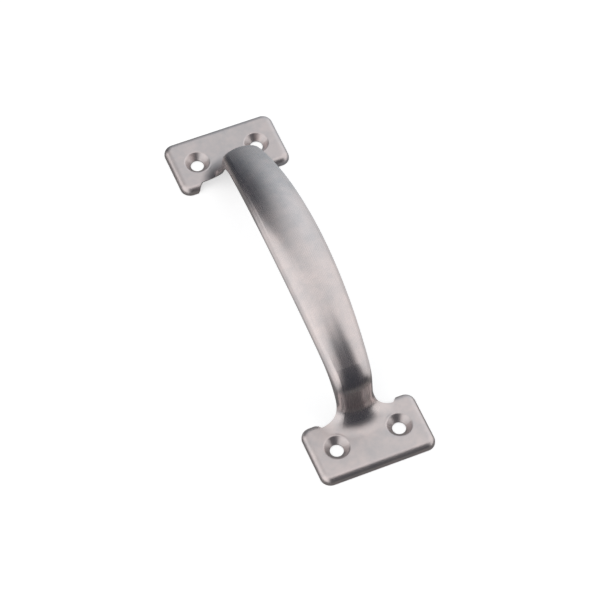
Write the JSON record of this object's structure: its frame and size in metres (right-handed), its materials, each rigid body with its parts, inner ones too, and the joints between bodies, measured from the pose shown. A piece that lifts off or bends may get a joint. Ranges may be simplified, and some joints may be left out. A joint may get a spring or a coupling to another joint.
{
  "type": "utility pull handle",
  "caption": "Stamped sheet-steel utility pull: a bowed open-channel grip with a flat screw foot at each end, countersunk for wood or machine screws.",
  "frame": {"origin": "middle of the handle in the door plane that both feet stand on", "axes": "+Y along the handle, +Z away from the door towards the grip, +X across it"},
  "size_m": [0.0454, 0.165, 0.041],
  "materials": {
    "handle_steel": "satin, finely brushed along the bow and tumbled smooth on the feet"
  },
  "bodies": {
    "root": {"pull_handle": "handle_steel"}
  },
  "joints": []
}
